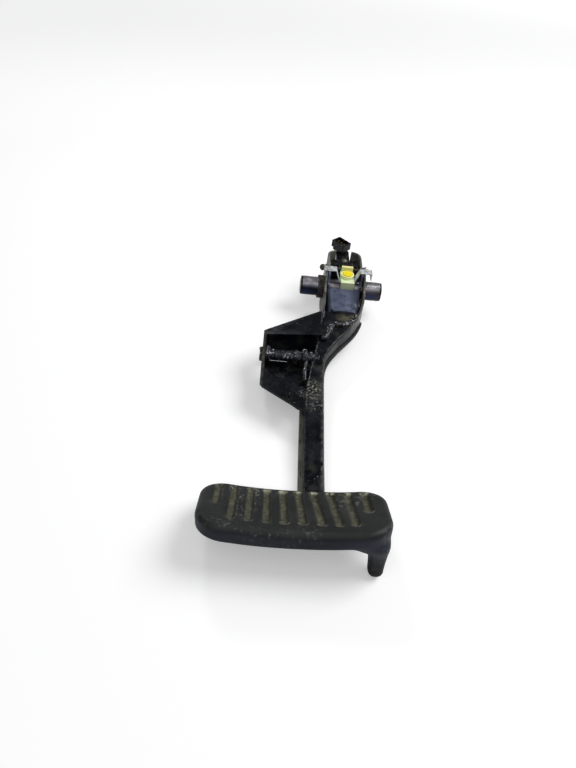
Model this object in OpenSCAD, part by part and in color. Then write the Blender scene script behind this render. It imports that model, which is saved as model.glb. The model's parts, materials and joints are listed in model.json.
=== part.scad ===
// Brake pedal of a car with automatic transmission, as it lies on a bench, foot pad up.
// The origin is the middle of the pivot bore. X runs along the pivot, Y away from the
// foot pad, Z up. Millimetres.

/* [Pivot] */
// Overall length of the steel pivot tube
tube_len = 71; // [64:1:82]
// Outside diameter of the pivot tube
tube_od = 17; // [15.5:0.5:18]
// Wall of the pivot tube
tube_wall = 2; // [1.5:0.25:2.5]
// Flange thickness of the plastic bushes
bush_flange_t = 1.6; // [1:0.2:2.5]
// How deep each bush reaches into the tube
bush_depth = 15; // [8:1:24]
// Outside diameter of the spacer sleeve that turns in the bushes
sleeve_od = 10.4; // [9.6:0.2:11]
// Bore of the spacer sleeve for the pivot bolt
sleeve_bore = 8.2; // [6.2:0.2:8.4]
// Radial running clearance between sleeve and bush
sleeve_gap = 0.05; // [0.03:0.01:0.1]
// How far the sleeve stands proud of each bush flange
sleeve_proud = 0.4; // [0.2:0.1:1]
// Outside diameter of the weld collar round the tube at the left cheek
collar_od = 21; // [19.5:0.5:24]
// Width of the weld collar
collar_w = 5; // [3:0.5:7]

/* [Arm] */
// Width of the pressed channel below the flare
arm_w = 14.4; // [12:0.2:18]
// Sideways place of the lower arm's middle
arm_x = -25.2; // [-28:0.2:-22]
// Sheet thickness of the channel
arm_t = 2.2; // [1.8:0.1:2.6]
// Thickness of the plate that closes the channel
back_t = 2.5; // [2:0.1:3.5]
// How far the closing plate stands out on the channel's right side
back_lip = 1.6; // [0.8:0.2:2.4]
// How far the closing plate stands out on the channel's left side
back_lip_left = 2.8; // [1.2:0.2:3.6]
// Height of the pivot axis over the bench the pedal rests on
rest_drop = 25; // [23:0.5:28]

/* [Hub] */
// Sideways place of the outer face of the left cheek
cheek_left = -16.5; // [-18:0.1:-15.5]
// Sideways place of the outer face of the right cheek
cheek_right = 20.5; // [20:0.1:22]
// Height of the cheeks' top edge over the pivot axis
cheek_top = 20; // [18.5:0.5:22]
// Sheet thickness of the inner hub bracket
hub_t = 1.8; // [1.5:0.1:2]
// Gap between the outer cheek and the inner bracket on the left side
hub_gap_left = 0.6; // [0.4:0.1:1.2]
// Gap between the outer cheek and the inner bracket on the right
hub_gap_right = 0.5; // [0.3:0.1:1.5]
// Height of the inner bracket's bridge over the pivot axis
bridge_top = 10.5; // [10:0.25:12]
// Inner bracket's reach behind the pivot
hub_back = 34; // [31:0.5:40]
// Radius of the inner bracket's rear bends
hub_bend = 9; // [6:0.5:11]

/* [Push-rod bracket] */
// Sideways place of the outer face of the far left wall
bracket_left = -67; // [-72:0.5:-63]
// Sheet thickness of the bracket
bracket_t = 2.5; // [2:0.1:3]
// Height of the bracket's top web
bracket_top = 8.5; // [7.5:0.25:9]
// Height of the bracket's floor underside, below the pivot axis
bracket_floor = 11.5; // [10.5:0.25:13]
// Diameter of the push-rod pin
pin_d = 9; // [8:0.25:10]
// Distance from the pivot axis to the push-rod pin
pin_reach = 104; // [101:0.5:107]
// Diameter of the pin's shoulder at the arm
pin_collar_d = 12; // [11:0.5:13]
// Width of the push-rod fork window in the floor
window_w = 14; // [11:0.5:16]
// Diameter of the two holes in the front flange
flange_hole_d = 3.6; // [2.5:0.2:4.5]

/* [Foot pad] */
// Width of the rubber pad
pad_w = 117.5; // [110:0.5:126]
// Depth of the rubber pad from heel side to toe side
pad_h = 54; // [50:0.5:60]
// Thickness of the rubber at its rim
pad_rim = 11; // [9:0.5:12.5]
// Thickness of the rubber over the plate
pad_skin = 4.5; // [4:0.25:5.5]
// Thickness of the steel pad plate
plate_t = 2.5; // [2:0.25:3]
// Tilt of the pad face, toe side lower
pad_tilt = 24; // [22:0.5:26]
// Number of grooves in the face
groove_n = 10; // [6:1:10]
// Distance from groove to groove
groove_pitch = 10.4; // [9:0.1:11]
// Width of one groove
groove_w = 4.6; // [3:0.2:6]
// Depth of one groove
groove_deep = 2.2; // [1:0.1:2.6]
// How much the left end of the face rises over its middle
rise_left = 5; // [2:0.25:6]
// How much the right end of the face rises over its middle
rise_right = 4.3; // [2:0.1:5]
// Thickness of the down-turned tongue's tip at the right end
tongue_t = 9.5; // [8:0.5:11]
// Width of the tongue's tip
tongue_w = 10; // [9:0.5:12]

/* [Switch] */
// Width of the plunger carrier and its saddle
carrier_w = 12; // [11:0.25:12.5]
// Diameter of the yellow plunger cap
plunger_d = 9; // [8:0.25:9.5]
// Travel of the plunger
plunger_travel = 2.5; // [1:0.25:3]
// Radial clearance of the plunger in its well
plunger_gap = 0.1; // [0.06:0.01:0.2]
// Width of the spring clip's strip
clip_w = 8; // [6:0.5:9]
// Thickness of the spring clip's strip
clip_t = 0.9; // [0.7:0.1:1.1]
// Diameter of the retaining pin
keeper_d = 4; // [3:0.25:4.5]
// Diameter of the retaining pin's round head
keeper_head_d = 6; // [5.5:0.25:7]
// Width of the switch housing
housing_w = 22; // [18:0.5:24]

/* [Hidden] */
$fn = 64;
eps = 0.01;
far = 400;

tube_r = tube_od / 2;
tube_ir = tube_r - tube_wall;
sleeve_r = sleeve_od / 2;
bush_end = tube_len / 2 + bush_flange_t;

arm_left = arm_x - arm_w / 2;
arm_right = arm_x + arm_w / 2;
hub_left = cheek_left + arm_t + hub_gap_left;
hub_right = cheek_right - arm_t - hub_gap_right;
hub_x = (hub_left + hub_right) / 2 - 0.4;
switch_x = hub_x + 2.45;

// Middle of the pad face, and its lean towards the left
pad_mid = [-39.75, -253.6, 2.5];
pad_roll = 2.75;
pad_drop = pad_skin + plate_t;
// Where the underside of the pad plate lies at a distance y along the pedal
function under_plate(y) = pad_mid[2] - pad_drop / cos(pad_tilt) - tan(pad_tilt) * (y - pad_mid[1]);

// Where the arm ends under the pad, leaves the pad's upper edge and touches the bench
foot_past = 12.4;
foot_y = pad_mid[1] - foot_past;
heel_y = foot_y + 31;
belly_y = foot_y + 51;
// Where the arm's web ends in front of the tube, and its height there
web_end = -58;
web_z = bracket_top - bracket_t;
foot_over = 3;
// Lower line of the flare, shared by the closing plate and the cheeks
flare_y = -70;
flare_line = [[flare_y, -rest_drop + 15.5], [-45, -rest_drop + 13.5], [-22, -rest_drop + 5]];

// Side view of the arm: heights of its upper and lower line along the pedal
top_line = [[foot_y, under_plate(foot_y) + foot_over], [heel_y - 5, under_plate(heel_y - 5) + foot_over],
    [heel_y, -15.2], [heel_y + 12, -14.9], [-183, -9.6], [-150, -5], [-121, -0.4],
    [-100, 3], [flare_y - 6, web_z], [web_end, web_z]];
back_line = concat([[foot_y, under_plate(foot_y) - 8.5], [heel_y - 10, -rest_drop + 6],
    [heel_y + 2, -rest_drop + 1.2], [belly_y, -rest_drop], [belly_y + 25, -rest_drop + 1.8],
    [-150, -rest_drop + 7.5], [-110, -rest_drop + 13.5]], flare_line);

// A cubic curve through the end points a and d, drawn towards b and c
function curve(a, b, c, d, n = 14) = [for (i = [0:n]) let (t = i / n, s = 1 - t)
    s * s * s * a + 3 * s * s * t * b + 3 * s * t * t * c + t * t * t * d];
function reversed(list) = [for (i = [len(list) - 1:-1:0]) list[i]];
function moved(list, dx) = [for (p = list) [p[0] + dx, p[1]]];
function lifted(list, dz) = [for (p = list) [p[0], p[1] + dz]];

// Plan view of the arm: its two flared outlines from the foot to behind the pivot
cheek_back = 13;
left_edge = concat([[arm_left, foot_y - 1]],
    curve([arm_left, -150], [arm_left, -115], [-20, -95], [cheek_left, -12]),
    [[cheek_left, cheek_back + 10]]);
right_edge = concat([[arm_right, foot_y - 1]],
    curve([arm_right, -122], [arm_right, -104], [-14, -98], [-6, -84.5], 8),
    curve([-5.5, -83.7], [2, -72.5], [cheek_right, -52], [cheek_right, -12], 10),
    [[cheek_right, cheek_back + 10]]);

// A block of the side view's outline, [y, z] points, from x0 to x1
module side_block(points, x0 = -far / 2, x1 = far / 2) {
    translate([x0, 0, 0])
        rotate([90, 0, 90])
            linear_extrude(x1 - x0)
                polygon(points);
}

// A round bar along X from x0 to x1 at [y, z]
module x_bar(r, x0, x1, y = 0, z = 0) {
    translate([x0, y, z])
        rotate([0, 90, 0])
            cylinder(r = r, h = x1 - x0);
}

// A plate in plan view between two heights
module plan_block(points, z0, z1) {
    translate([0, 0, z0])
        linear_extrude(z1 - z0)
            polygon(points);
}

// The arm's plan outline with both walls moved inwards by inset
module arm_plan(inset, z0, z1) {
    plan_block(concat(moved(left_edge, inset), reversed(moved(right_edge, -inset))), z0, z1);
}

// The closing plate's plan outline, standing out by a further margin all round
module plate_plan(margin) {
    plan_block(concat(moved(left_edge, -back_lip_left - margin), reversed(moved(right_edge, back_lip + margin))),
        -far / 4, far / 4);
}

// Outline of one hub cheek behind the channel's web
cheek_outline = concat([[flare_y, web_z - 1], [flare_y + 6, 8.5], [-40, 10], [-22, 11.5]],
    curve([-16, 12.5], [-11, 13.5], [-11, cheek_top], [-5, cheek_top], 6),
    [[7, cheek_top]],
    curve([7, cheek_top], [12, cheek_top], [15, 12], [15, 4], 6),
    curve([15, -8], [15, -16], [12, -rest_drop], [4, -rest_drop], 6),
    [[-12, -rest_drop]], reversed(flare_line));

// Pressed channel, open towards the bench, whose walls run on as the hub's cheeks
module arm_channel() {
    color("#17181c")
    difference() {
        intersection() {
            arm_plan(0, -far / 4, far / 4);
            union() {
                side_block(concat(top_line, reversed(lifted(back_line, back_t))));
                side_block(cheek_outline);
            }
        }
        intersection() {
            arm_plan(arm_t, -far / 4, far / 4);
            union() {
                side_block(concat(lifted(top_line, -arm_t), [[web_end, -far / 4], [foot_y - 2, -far / 4]]));
                side_block([[web_end - eps, -far / 4], [far, -far / 4], [far, far / 4], [web_end - eps, far / 4]]);
                side_block([[flare_y - 2, web_z], [far, web_z], [far, far / 4], [flare_y - 2, far / 4]]);
            }
        }
        side_block(concat([for (p = back_line) [p[0], p[1] + back_t]],
            [[-22, -far / 4], [foot_y - 1, -far / 4]]));
        // the foot ends flush against the underside of the pad plate
        on_pad()
            translate([-pad_w / 2, -pad_h / 2, -pad_drop]) cube([pad_w, pad_h, far / 8]);
        x_bar(tube_r, cheek_left - 5, cheek_right + 5);
        x_bar(keeper_d / 2, cheek_left - 5, cheek_right + 5, keeper_y, keeper_z);
        x_bar(pin_d / 2, bracket_left, pin_to, -pin_reach, pin_z);
    }
}

// Flat strip welded over the channel's open side, bent to its lower line
module arm_back_plate() {
    color("#1b1c20")
    difference() {
        intersection() {
            plate_plan(0);
            side_block(concat(lifted(back_line, back_t), reversed(back_line)));
        }
        side_block([[-30, -far / 4], [0, -far / 4], [0, far / 4], [-30, far / 4]]);
    }
}

hub_front = -51.5;
hub_under = -12;
// Width of the gap between the two rear ears
ear_gap = 14.4;
keeper_y = 11;
keeper_z = 14;

// Side view of the inner bracket's walls
hub_outline = concat([[hub_front, bridge_top], [-17, bridge_top]],
    curve([-14, bridge_top], [-9, bridge_top], [-9, cheek_top], [-6, cheek_top], 6),
    [[hub_back, cheek_top], [hub_back, hub_under + 6]],
    curve([hub_back, hub_under + 6], [hub_back, hub_under + 2], [hub_back - 2, hub_under], [hub_back - 8, hub_under], 4),
    [[-20, hub_under], [-34, -6], [hub_front, -4]]);

// Where the right wall starts to run in with the arm's flare, and how far it has run in at its front
taper_y = -6;
taper_in = 7.2;

// A frame on the right wall's outer face that turns with the wall
module on_right_wall() {
    translate([hub_right, taper_y, 0])
        rotate([0, 0, -atan(taper_in / (taper_y - hub_front))])
            children();
}

// Everything of the inner bracket's plan outline, drawn in by inset
module hub_plan(inset) {
    r = hub_bend - inset;
    y = hub_back - hub_bend;
    front = hub_front - 1 - inset;
    intersection() {
        union() {
            plan_block([[hub_left + inset, front], [hub_right - inset, front],
                [hub_right - inset, y], [hub_left + inset, y]], -far / 4, far / 4);
            plan_block([[hub_left + hub_bend, y - 1], [hub_right - hub_bend, y - 1],
                [hub_right - hub_bend, y + r], [hub_left + hub_bend, y + r]], -far / 4, far / 4);
            for (x = [hub_left + hub_bend, hub_right - hub_bend])
                translate([x, y, -far / 4]) cylinder(r = r, h = far / 2);
        }
        on_right_wall() translate([-far - inset, -far, -far / 4]) cube([far, 2 * far, far / 2]);
    }
}

// Inner bracket: a folded sheet with a bridge in front and in-turned ears behind
module hub_bracket() {
    bend = 5;
    fold_z = bridge_top - bend;
    bridge_end = -17;
    color("#4a4c58")
    difference() {
        intersection() {
            side_block(hub_outline, hub_left, hub_right);
            hub_plan(0);
            // upper edges of the bridge rounded by the fold
            union() {
                translate([-far / 2, bridge_end + 4, -far / 4]) cube([far, far, far / 2]);
                translate([-far / 2, -far, -far / 4]) cube([far, 2 * far, far / 4 + fold_z]);
                intersection() {
                    translate([hub_left + bend, -far, 0]) cube([far, 2 * far, far / 4]);
                    on_right_wall() translate([-far - bend, -far, 0]) cube([far, 2 * far, far / 4]);
                }
                translate([hub_left + bend, 0, fold_z]) rotate([90, 0, 0]) cylinder(r = bend, h = far);
                on_right_wall() translate([-bend, bend, fold_z]) rotate([90, 0, 0]) cylinder(r = bend, h = far);
            }
        }
        // the inside of the fold
        difference() {
            hub_plan(hub_t);
            side_block([[hub_front - 5, bridge_top - hub_t], [bridge_end, bridge_top - hub_t],
                [bridge_end, far / 4], [hub_front - 5, far / 4]]);
        }
        // the gap between the rear ears
        translate([hub_x - ear_gap / 2, hub_back - 15, -far / 4]) cube([ear_gap, far, far / 2]);
        // relief notch at the end of the left fold
        translate([hub_left + 2.6, hub_front + 1.2, 0]) cylinder(d = 2.6, h = far / 8);
        x_bar(tube_r, cheek_left - 5, cheek_right + 5);
        x_bar(keeper_d / 2, cheek_left - 9, cheek_right + 9, keeper_y, keeper_z);
    }
}

module pivot_tube() {
    color("#6d6a70")
    difference() {
        x_bar(tube_r, -tube_len / 2, tube_len / 2);
        x_bar(tube_ir, -tube_len, tube_len);
    }
}

module tube_collar() {
    color("#4b4742")
    difference() {
        x_bar(collar_od / 2, cheek_left - collar_w, cheek_left);
        x_bar(tube_r, cheek_left - 2 * collar_w, cheek_left + collar_w);
    }
}

// One flanged plastic bush, for side -1 or 1
module bush(side) {
    color("#1a1a1c")
    mirror([side < 0 ? 1 : 0, 0, 0])
    difference() {
        union() {
            x_bar(tube_ir, tube_len / 2 - bush_depth, bush_end);
            x_bar(tube_r - 0.3, tube_len / 2, bush_end);
        }
        x_bar(sleeve_r + sleeve_gap, 0, far);
    }
}

module pivot_sleeve() {
    sleeve_end = bush_end + sleeve_proud;
    color("#a9abae")
    difference() {
        x_bar(sleeve_r, -sleeve_end, sleeve_end);
        x_bar(sleeve_bore / 2, -far, far);
    }
}

// A point in plan view, at a distance from the push-rod pin towards the pivot
function by_pin(x, away) = [x, away - pin_reach];

// Plan view of the push-rod bracket
ridge_left = by_pin(bracket_left, 13.5);
ridge_right = by_pin(-23, 20);
web_left = by_pin(bracket_left, 18.5);
web_right = [-21.5, -52];
lip_in_left = by_pin(bracket_left + bracket_t, -18.5);
lip_in_right = by_pin(arm_left - 5, -46.5);
lip_out_left = by_pin(bracket_left + 2, -38);
lip_out_right = by_pin(arm_left - 9.5, -55);
pin_z = -1;
pin_to = arm_x + 2;

// Underside of the bracket's floor along the pedal, rising towards the pad
floor_z = -bracket_floor;
floor_rise = 4;
floor_back = 24 - pin_reach;
floor_end = -61 - pin_reach;
floor_line = [[floor_back, floor_z], [-8 - pin_reach, floor_z], [floor_end, floor_z + floor_rise]];

// Left wall of the bracket, lower towards the pad
wall_line = [for (p = [[15, floor_z], [15, bracket_top], [1, bracket_top - 1], [-15, 0], [-22, 0], [-22, floor_z]])
    p - [pin_reach, 0]];

// Window for the fork: its middle, how far behind the pin it starts, and its length
window_x = bracket_left + 13.5;
window_from = 2.2;
window_l = 11.6;

// Locating holes in the flange
flange_holes = [by_pin(bracket_left + 8.4, -36), by_pin(bracket_left + 23.1, -48.5)];

// Folded tray between the arm and its far left wall, for the push-rod's fork
module pushrod_bracket() {
    slope = (lip_in_right - lip_in_left) / norm(lip_in_right - lip_in_left);
    across = [-slope[1], slope[0]];
    web_in_left = hub_left + hub_t + 0.3;
    web_in_right = hub_right - taper_in - hub_t - 0.6;
    color("#1c1d21")
    difference() {
        union() {
            // top web, which reaches over the end of the arm and in between the cheeks
            difference() {
                plan_block([ridge_left, web_left, web_right, [-19, hub_front - 0.5], [web_in_left, hub_front - 0.5],
                    [web_in_left, -42], [web_in_right, -42], [web_in_right - 0.4, -60],
                    [4, -64], [-10, -66.5], by_pin(-17, 18), ridge_right], web_z, bracket_top);
                // room for the cheeks
                difference() {
                    arm_plan(-0.01, 0, far / 8);
                    arm_plan(arm_t, -1, far / 4);
                    side_block([[-far, -far], [flare_y, -far], [flare_y, far], [-far, far]]);
                }
            }
            intersection() {
                side_block(concat(floor_line, [[floor_end, bracket_top], [floor_back, bracket_top]]));
                union() {
                    // rear wall, hanging from the ridge
                    plan_block([ridge_left, ridge_left + [0, bracket_t], by_pin(arm_left + 14, 22),
                        by_pin(arm_left + 14, 22 - bracket_t)], floor_z, bracket_top);
                    side_block(wall_line, bracket_left, bracket_left + bracket_t);
                    // front wall
                    plan_block([lip_in_left, lip_in_right, lip_in_right - across * bracket_t,
                        lip_in_left - across * bracket_t], floor_z, 0);
                    // flange turned out from the front wall
                    plan_block([by_pin(bracket_left, -17), lip_in_left, lip_in_right, by_pin(arm_left - 0.3, -49),
                        by_pin(arm_left - 0.3, -58), by_pin(arm_left - 1.5, -59.5), by_pin(arm_left - 5.5, -58.5),
                        lip_out_right, lip_out_left, by_pin(bracket_left, -35)], -bracket_t, 0);
                }
            }
            // floor
            intersection() {
                side_block(concat(floor_line, reversed(lifted(floor_line, bracket_t))));
                plan_block([by_pin(bracket_left, 14), by_pin(arm_left + 14, 19), by_pin(arm_left + 4, -21),
                    by_pin(arm_left + 2, -44), lip_in_right, lip_in_left, by_pin(bracket_left, -17)], floor_z, 0);
            }
        }
        // the walls and the floor end at the arm and at its closing plate
        intersection() {
            arm_plan(0, -far / 4, far / 4);
            side_block(concat(top_line, reversed(back_line)));
        }
        intersection() {
            plate_plan(0.02);
            side_block(concat(lifted(back_line, back_t + 0.02), reversed(lifted(back_line, -0.02))));
        }
        translate([window_x - window_w / 2, window_from - pin_reach, floor_z - 1]) cube([window_w, window_l, bracket_t + 3]);
        for (p = flange_holes)
            translate([p[0], p[1], -bracket_t - 1]) cylinder(d = flange_hole_d, h = bracket_t + 2);
        x_bar(pin_d / 2, bracket_left - 1, bracket_left + bracket_t + 1, -pin_reach, pin_z);
    }
}

// Plain pin across the bracket, with a shoulder at the arm
module pushrod_pin() {
    color("#5c5a58")
    union() {
        x_bar(pin_d / 2, bracket_left - 2, pin_to, -pin_reach, pin_z);
        x_bar(pin_collar_d / 2, arm_left - 9, arm_left - 6.5, -pin_reach, pin_z);
    }
}

// Moves the pad's own frame, with the face's middle at its origin, to its place
module on_pad() {
    translate(pad_mid)
        rotate([-pad_tilt, -pad_roll, 0])
            children();
}

plate_edge = 2.6;
corner_r = 17;
tongue_a = 51.25;
tongue_b = -10.5;
tongue_r = tongue_w / 2;
// How far the middle of the tongue's round tip lies under the face, so that it meets the bench
tongue_low = (rest_drop + pad_mid[2] - tongue_r + (tongue_a - tongue_t / 2) * sin(pad_roll))
    / (cos(pad_roll) * cos(pad_tilt)) - tongue_b * tan(pad_tilt);

// Height of the dished face over its middle, at a distance a from the middle
function dish(a) = a > 0 ? rise_right * pow(2 * a / pad_w, 3) : rise_left * pow(2 * a / pad_w, 2);

// Toe-side half of the pad's outline from the right end to the left end, drawn in by inset
straight_n = 9;
corner_n = 7;
function half_outline(inset) = let (w = pad_w / 2 - inset, h = pad_h / 2 - inset, r = max(corner_r - inset, 3))
    concat([for (i = [0:corner_n]) [w - r + r * cos(90 * i / corner_n), h - r + r * sin(90 * i / corner_n)]],
        [for (i = [1:straight_n - 1]) [(w - r) * (1 - 2 * i / straight_n), h]],
        [for (i = [0:corner_n]) [-w + r - r * sin(90 * i / corner_n), h - r + r * cos(90 * i / corner_n)]]);
function full_outline(inset) = let (half = half_outline(inset))
    concat(half, [for (p = reversed(half)) [p[0], -p[1]]]);

// Inset and height of each ring of the pad's skin, from the open back to the face
rings = [[0.8, -pad_rim], [0, -pad_rim + 1.2], [0, -4.2], [0.5, -2.5], [1.4, -1.2], [2.7, -0.4], [4.4, 0]];

// The pad's dished body with rolled edges
module pad_body() {
    n = len(full_outline(0));
    top = (len(rings) - 1) * n;
    polyhedron(
        points = [for (ring = rings) for (p = full_outline(ring[0])) [p[0], p[1], ring[1] + dish(p[0])]],
        faces = concat(
            [for (k = [0:len(rings) - 2]) for (i = [0:n - 1]) [k * n + i, (k + 1) * n + i, (k + 1) * n + (i + 1) % n]],
            [for (k = [0:len(rings) - 2]) for (i = [0:n - 1]) [k * n + i, (k + 1) * n + (i + 1) % n, k * n + (i + 1) % n]],
            [for (i = [0:n / 2 - 2]) [i, i + 1, n - 2 - i, n - 1 - i]],
            [for (i = [0:n / 2 - 2]) [top + i, top + n - 1 - i, top + n - 2 - i, top + i + 1]]));
}

// Outline of the steel plate inside the pad
module plate_outline() {
    r = corner_r - plate_edge;
    w = pad_w / 2 - plate_edge - r;
    h = pad_h / 2 - plate_edge - r;
    for (x = [-w, w])
        for (y = [-h, h])
            translate([x, y]) circle(r);
    square([2 * (w + r), 2 * h], center = true);
    square([2 * w, 2 * (h + r)], center = true);
}

// A slice of the tongue: thickness t, round ends of radius r, its middle at a, b and low under the face
module tongue_slice(a, t, r, b, low) {
    translate([a - t / 2, b, -low])
        rotate([0, 90, 0])
            cylinder(r = r, h = t, $fn = 32);
}

module metal_tongue() {
    t = plate_t;
    w = tongue_w - 4;
    translate([tongue_a - t / 2, 0, 0])
        rotate([90, 0, 90])
            linear_extrude(t)
                polygon([[tongue_b - w / 2, -tongue_low], [tongue_b + w / 2, -tongue_low],
                    [tongue_b + w / 2 + 2, -pad_skin - 1], [tongue_b - w / 2 - 2, -pad_skin - 1]]);
}

module pad_plate() {
    color("#2a2a2c")
    on_pad()
        union() {
            translate([0, 0, -pad_drop]) linear_extrude(plate_t) plate_outline();
            metal_tongue();
        }
}

// Ribbed rubber boot, pulled over the plate's edge and flowing down over the tongue
module pad_rubber() {
    waist = tongue_low * 0.42;
    groove_top = 20;
    color("#2e2f2e")
    on_pad()
        difference() {
            union() {
                pad_body();
                hull() {
                    translate([pad_w / 2 - corner_r, -pad_h / 2 + corner_r, -pad_rim + 1]) cylinder(r = corner_r - 0.4, h = 5, $fn = 32);
                    translate([44, -pad_h / 2 + 6, -pad_rim + 1]) cylinder(r = 5.4, h = 4, $fn = 32);
                    tongue_slice(tongue_a + 0.4, tongue_t + 2, tongue_r + 3, tongue_b + 1, waist);
                }
                hull() {
                    tongue_slice(tongue_a + 0.4, tongue_t + 2, tongue_r + 3, tongue_b + 1, waist);
                    tongue_slice(tongue_a, tongue_t, tongue_r, tongue_b, tongue_low);
                }
            }
            // room for the plate
            translate([0, 0, -pad_drop]) linear_extrude(plate_t) plate_outline();
            metal_tongue();
            // open back inside the rim
            translate([-5, 0, -pad_rim - far / 8])
                linear_extrude(pad_rim + far / 8 - pad_drop)
                    square([pad_w - 34, pad_h - 16], center = true);
            // where the arm passes the rim
            translate([arm_left - back_lip_left - 0.6 - pad_mid[0], 0, -pad_rim - far / 8])
                cube([arm_w + back_lip_left + back_lip + 1.2, pad_h, pad_rim + far / 8 - pad_drop]);
            // grooves, the first and the last one short
            for (i = [0:groove_n - 1]) {
                x = (i - (groove_n - 1) / 2) * groove_pitch - 1.3;
                end = (i == 0 || i == groove_n - 1) ? 0 : -14.5;
                bottom = dish(x) - groove_deep;
                translate([x - groove_w / 2, end, bottom]) cube([groove_w, groove_top - end, far / 8]);
                for (y = [end, groove_top])
                    translate([x, y, bottom]) cylinder(d = groove_w, h = far / 8);
            }
        }
}

clip_y = -1;
clip_low = tube_r + 0.3;
saddle_z = clip_low + clip_t;

// Spring strip: ears on the cheeks, a valley under the plunger's carrier
module spring_clip() {
    half = carrier_w / 2 + 0.5;
    mouth = 10.6;
    ear_left = cheek_left - 0.3;
    ear_right = cheek_right + 4.5;
    path_top = [[ear_left - clip_t, cheek_top - 3.5], [ear_left - clip_t, cheek_top + clip_t],
        [switch_x - mouth, cheek_top + clip_t], [switch_x - half, clip_low + clip_t],
        [switch_x + half, clip_low + clip_t], [switch_x + mouth, cheek_top + clip_t],
        [ear_right + clip_t, cheek_top + clip_t], [ear_right + clip_t, cheek_top - 6]];
    path_low = [[ear_right, cheek_top - 6], [ear_right, cheek_top],
        [switch_x + mouth + 0.4, cheek_top], [switch_x + half + 0.4, clip_low],
        [switch_x - half - 0.4, clip_low], [switch_x - mouth - 0.4, cheek_top],
        [ear_left, cheek_top], [ear_left, cheek_top - 3.5]];
    color("#b9b8b2")
    translate([0, clip_y + clip_w / 2, 0])
        rotate([90, 0, 0])
            linear_extrude(clip_w)
                polygon(concat(path_top, path_low));
}

well_top = 16.5;
well_floor = saddle_z + 1;
cap_top = well_top + 0.8;
cap_low = well_floor + plunger_travel + 0.2;
cap_wall = 1;

// Pale saddle that sits in the clip's valley and holds the plunger
module plunger_carrier() {
    x0 = switch_x - carrier_w / 2;
    front_y = clip_y - 11.5;
    back_y = clip_y + 9.7;
    slab = 2.6;
    color("#cfd8a0")
    difference() {
        union() {
            translate([x0, front_y, saddle_z]) cube([carrier_w, back_y - front_y, 4]);
            translate([x0, front_y, 3.5]) cube([carrier_w, slab, saddle_z + 1]);
            translate([x0 + 0.8, back_y - slab, saddle_z]) cube([carrier_w - 1.6, slab, 9.3]);
            translate([switch_x, clip_y, saddle_z]) cylinder(d = carrier_w, h = well_top - saddle_z);
        }
        translate([switch_x, clip_y, well_floor]) cylinder(d = plunger_d + 2 * plunger_gap, h = far);
    }
}

// Yellow cap, hollow from below for the spring
module plunger_cap() {
    color("#f2d21b")
    translate([switch_x, clip_y, 0])
        difference() {
            translate([0, 0, cap_low]) cylinder(d = plunger_d, h = cap_top - cap_low);
            translate([0, 0, cap_low - 1]) cylinder(d = plunger_d - 2 * cap_wall, h = cap_top - cap_low + 1 - cap_wall);
            for (side = [-1, 1])
                translate([side * plunger_d / 2, 0, cap_top - 1]) cylinder(d = 1.8, h = 2);
        }
}

// Wire coil under the plunger, drawn as a stack of touching rings
module plunger_spring() {
    wire = 0.7;
    height = cap_top - cap_wall - well_floor - 0.05;
    coils = ceil((height - wire) / (wire * 0.99)) + 1;
    color("#9a9a9a")
    translate([switch_x, clip_y, well_floor + wire / 2])
        for (i = [0:coils - 1])
            translate([0, 0, i * (height - wire) / (coils - 1)])
                rotate_extrude() translate([plunger_d / 2 - cap_wall - wire, 0]) circle(d = wire, $fn = 16);
}

module retaining_pin() {
    head_x = cheek_left - 1.5;
    color("#3c3a3a")
    union() {
        x_bar(keeper_d / 2, head_x, cheek_right + 4, keeper_y, keeper_z);
        translate([head_x, keeper_y, keeper_z]) sphere(d = keeper_head_d);
    }
}

module pin_lock_ring() {
    color("#8b8a86")
    difference() {
        x_bar(keeper_d / 2 + 2, cheek_right + 0.4, cheek_right + 1.4, keeper_y, keeper_z);
        x_bar(keeper_d / 2, cheek_right, cheek_right + 2, keeper_y, keeper_z);
    }
}

// Black housing between the inner bracket's walls
module switch_housing() {
    x0 = hub_x + 0.3 - housing_w / 2;
    front = 10.5;
    back = hub_back - hub_t - 3.6;
    neck = ear_gap - 2;
    color("#141416")
    difference() {
        union() {
            side_block([[front, -4], [front, 9], [front - 1, 12], [front, 18], [15, 18], [17, 13],
                [back, 13], [back, -4]], x0, x0 + housing_w);
            x_bar(keeper_d / 2 + 2, hub_left + hub_t + 0.2, hub_right - hub_t - 0.2, keeper_y + 2.5, keeper_z - 1);
            translate([hub_x - neck / 2, back - 5, 2]) cube([neck, socket_y - back + 5, socket_z - 2]);
        }
        x_bar(keeper_d / 2, -far, far, keeper_y, keeper_z);
        x_bar(tube_r + 0.5, -far, far);
        translate([screw_x, screw_y, 5]) cylinder(d = screw_shank, h = far);
    }
}

socket_x = -0.4;
socket_y = 45.6;
socket_z = 13.5;
socket_turn = -47;
socket_size = [15.4, 10.6, 10];

// Moved into the socket's own frame, with the middle of its underside at the origin
module on_socket() {
    translate([socket_x, socket_y, socket_z])
        rotate([0, 0, socket_turn])
            children();
}

// Plug socket, set askew on the housing's neck
module switch_connector() {
    wall = 1.5;
    w = socket_size[0];
    d = socket_size[1];
    h = socket_size[2];
    color("#101012")
    on_socket()
        difference() {
            union() {
                translate([-w / 2, -d / 2, 3]) cube([w, d, h - 3]);
                translate([-w / 2 + 1.5, -d / 2 + 1, 0]) cube([w - 3, d - 2, 4]);
            }
            translate([-w / 2 + wall, -d / 2 + wall, 5]) cube([w - 2 * wall, d - 2 * wall, h]);
        }
}

module terminal_pins() {
    color("#b08d3c")
    on_socket()
        for (i = [-1:1])
            translate([i * 3.6 - 0.5, -1, 5]) cube([1, 2, 3.6]);
}

screw_x = hub_x + 1;
screw_y = 27;
screw_shank = 3;

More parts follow.
